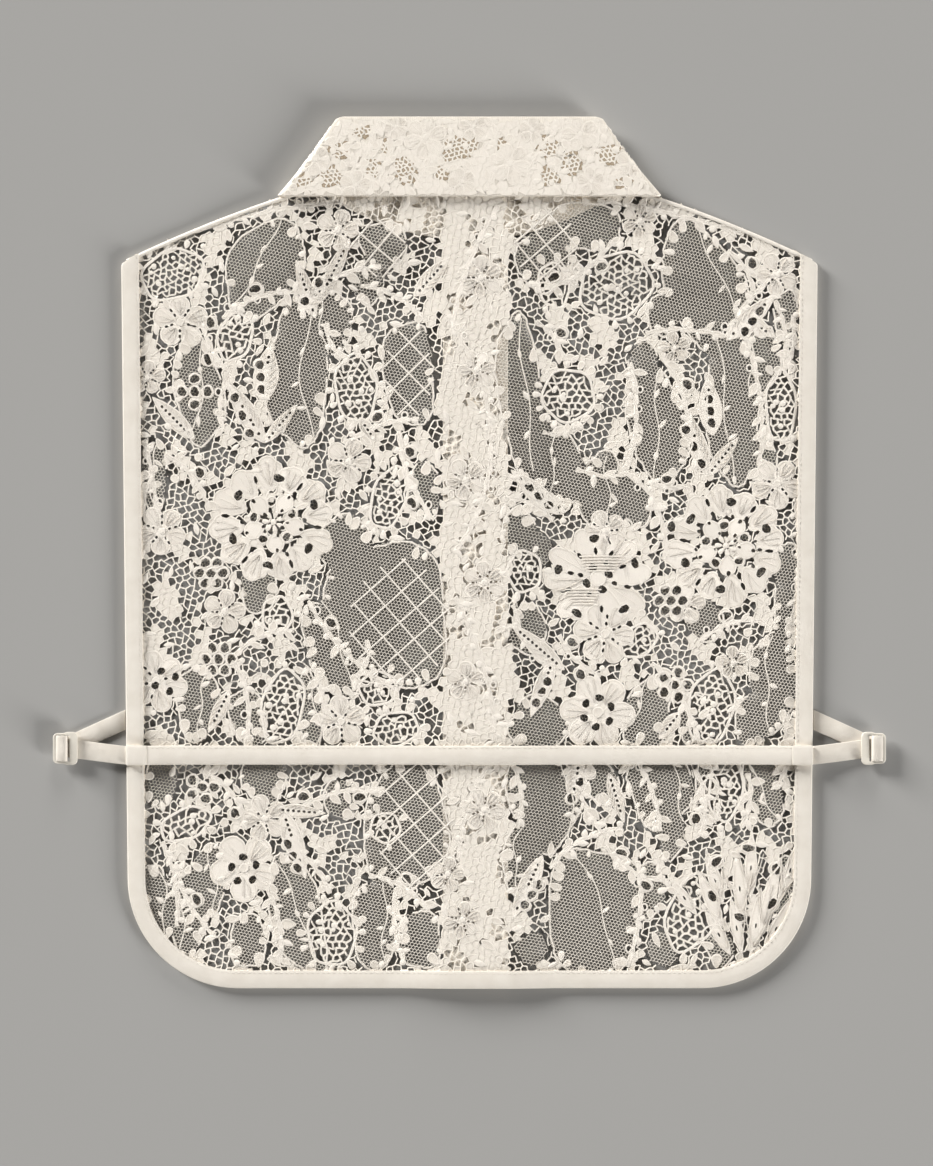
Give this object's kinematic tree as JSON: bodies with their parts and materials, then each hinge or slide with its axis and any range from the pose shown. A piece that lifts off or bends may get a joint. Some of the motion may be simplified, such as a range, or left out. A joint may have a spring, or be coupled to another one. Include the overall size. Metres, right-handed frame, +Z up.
{
  "type": "lace dickey collar",
  "caption": "Buttoned lace dickey laid face down: a flat shirt collar on a bound lace bib, with a waist tape and side elastics on sliders.",
  "frame": {"origin": "middle of the laid-out garment's outline, on the surface that it lies on", "axes": "+Y towards the collar, +X to the wearer's right, +Z up, out of the wearer's back"},
  "size_m": [0.4542, 0.475, 0.007],
  "materials": {
    "lace": "matte ivory guipure lace on a fine net",
    "binding": "matte ivory folded tape",
    "elastic": "satin ivory strap elastic",
    "plastic": "glossy cream",
    "pearl": "glossy pearl white"
  },
  "bodies": {
    "root": {"back_panel": "lace", "front_panel_left": "lace", "front_panel_right": "lace", "placket_left": "lace", "placket_right": "lace", "collar_fall": "lace", "collar_stand": "lace", "binding_back": "binding", "binding_front_left": "binding", "binding_front_right": "binding", "waist_band": "binding", "elastic_left": "elastic", "elastic_right": "elastic", "slider_left": "plastic", "slider_right": "plastic", "button_1": "pearl", "button_2": "pearl", "button_3": "pearl", "button_4": "pearl", "button_5": "pearl"}
  },
  "joints": []
}
